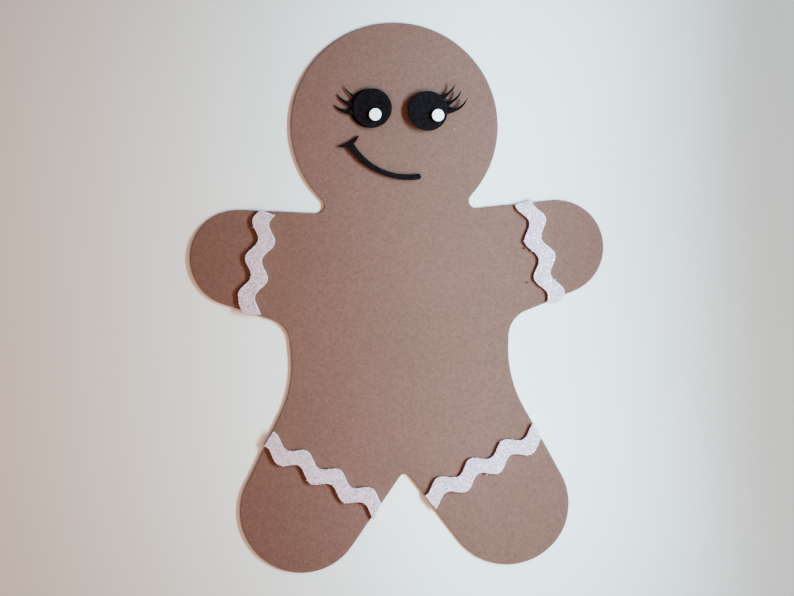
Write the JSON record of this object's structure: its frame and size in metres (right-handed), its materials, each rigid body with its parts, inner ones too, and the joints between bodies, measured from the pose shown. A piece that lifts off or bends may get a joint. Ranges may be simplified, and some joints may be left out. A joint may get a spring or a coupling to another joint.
{
  "type": "craft foam gingerbread man figure",
  "caption": "Flat handmade craft foam figure of a gingerbread man, lying face up, with wavy glitter strips across arms and legs and a raised foam face.",
  "frame": {"origin": "on the underside, under the middle of the outline's bounding box", "axes": "+X towards the viewer's right of the figure, +Y towards its head, +Z out of its face"},
  "size_m": [0.189, 0.25, 0.0086],
  "materials": {
    "taupe_foam": "matte taupe-brown craft foam with a fine speckled grain",
    "glitter_foam": "white craft foam covered in fine iridescent glitter",
    "black_foam": "matte black craft foam",
    "white_foam": "matte white craft foam",
    "dried_glue": "dried clear craft glue, faintly glossy"
  },
  "bodies": {
    "root": {"body": "taupe_foam", "band_arm_left": "glitter_foam", "band_arm_right": "glitter_foam", "band_leg_left": "glitter_foam", "band_leg_right": "glitter_foam", "smile": "black_foam", "eye_left": "black_foam", "pupil_left": "white_foam", "lash_left_upper": "black_foam", "lash_left_middle": "black_foam", "lash_left_lower": "black_foam", "eye_right": "black_foam", "pupil_right": "white_foam", "lash_right_upper": "black_foam", "lash_right_middle": "black_foam", "lash_right_lower": "black_foam"}
  },
  "joints": []
}
